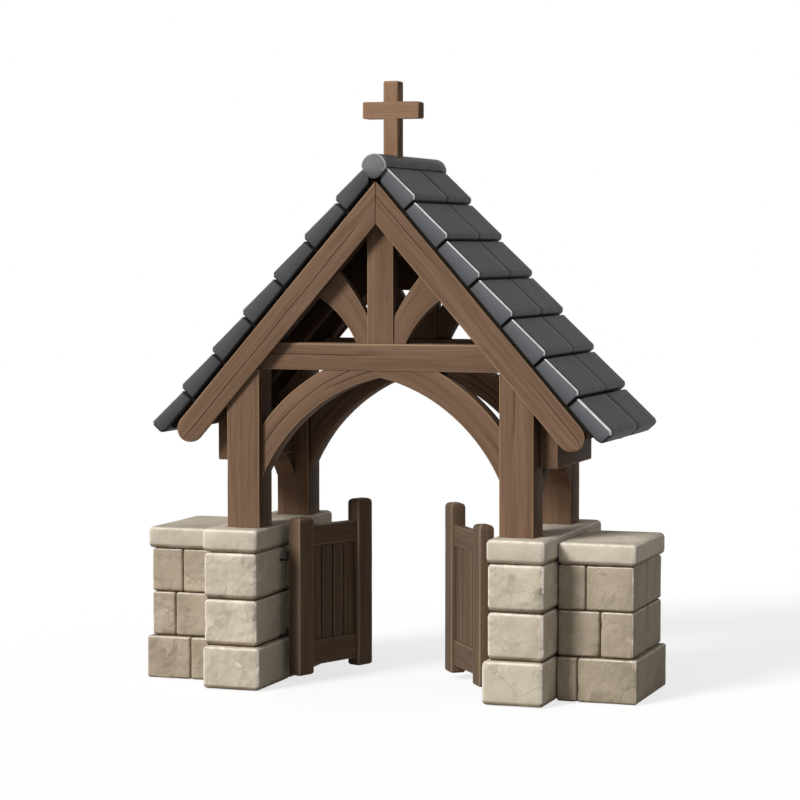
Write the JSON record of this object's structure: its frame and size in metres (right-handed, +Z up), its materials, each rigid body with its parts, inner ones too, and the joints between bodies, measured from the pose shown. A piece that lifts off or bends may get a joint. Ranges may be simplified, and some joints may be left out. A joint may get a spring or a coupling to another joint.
{
  "type": "lychgate",
  "caption": "Small churchyard lychgate: stone walls carry an open oak frame with arch braces, a steep slate roof with a cross, and a pair of boarded gates.",
  "frame": {"origin": "middle of the plan at ground level", "axes": "+X right along the front gable, +Y to the back, +Z up; the front gable faces -Y"},
  "size_m": [3.53, 1.53, 4.1404],
  "materials": {
    "wall_stone": "sawn sandstone blocks, eased arrises",
    "cap_stone": "rubbed sandstone",
    "frame_oak": "oiled oak",
    "cross_oak": "oiled oak",
    "deck_boards": "rough sawn boards",
    "gate_oak": "dark stained oak",
    "roof_slate": "riven dark slate",
    "ridge_slate": "rubbed dark slate",
    "gate_iron": "blacked wrought iron"
  },
  "bodies": {
    "lychgate": {"arch_brace_front_left": "frame_oak", "arch_brace_front_right": "frame_oak", "arch_brace_rear_left": "frame_oak", "arch_brace_rear_right": "frame_oak", "bargeboard_front_left": "frame_oak", "bargeboard_front_right": "frame_oak", "bargeboard_rear_left": "frame_oak", "bargeboard_rear_right": "frame_oak", "common_rafters": "frame_oak", "cross_arms": "cross_oak", "cross_shaft": "cross_oak", "eaves_plates": "frame_oak", "gate_hooks": "gate_iron", "king_post_front": "frame_oak", "king_post_rear": "frame_oak", "king_struts": "frame_oak", "pier_cap_left": "cap_stone", "pier_cap_right": "cap_stone", "pier_wall_left": "wall_stone", "pier_wall_right": "wall_stone", "post_front_left": "frame_oak", "post_front_right": "frame_oak", "post_rear_left": "frame_oak", "post_rear_right": "frame_oak", "principal_rafters": "frame_oak", "ridge_beam": "frame_oak", "ridge_roll": "ridge_slate", "roof_deck": "deck_boards", "roof_slates_left": "roof_slate", "roof_slates_right": "roof_slate", "side_braces": "frame_oak", "tie_beam_front": "frame_oak", "tie_beam_rear": "frame_oak", "wing_cap_left": "cap_stone", "wing_cap_right": "cap_stone", "wing_wall_left": "wall_stone", "wing_wall_right": "wall_stone"},
    "left_gate": {"left_gate_bands": "gate_iron", "left_gate_boards": "gate_oak", "left_gate_rails": "gate_oak", "left_gate_stiles": "gate_oak"},
    "right_gate": {"right_gate_bands": "gate_iron", "right_gate_boards": "gate_oak", "right_gate_rails": "gate_oak", "right_gate_stiles": "gate_oak"}
  },
  "joints": [
    {"name": "left_gate_hinge", "type": "hinge", "parent": "lychgate", "child": "left_gate", "pos_m": [-0.75, -0.3, 0.6], "axis": [0, 0, 1], "range_deg": [-68, 22]},
    {"name": "right_gate_hinge", "type": "hinge", "parent": "lychgate", "child": "right_gate", "pos_m": [0.75, -0.3, 0.6], "axis": [0, 0, -1], "range_deg": [-54, 36]}
  ]
}
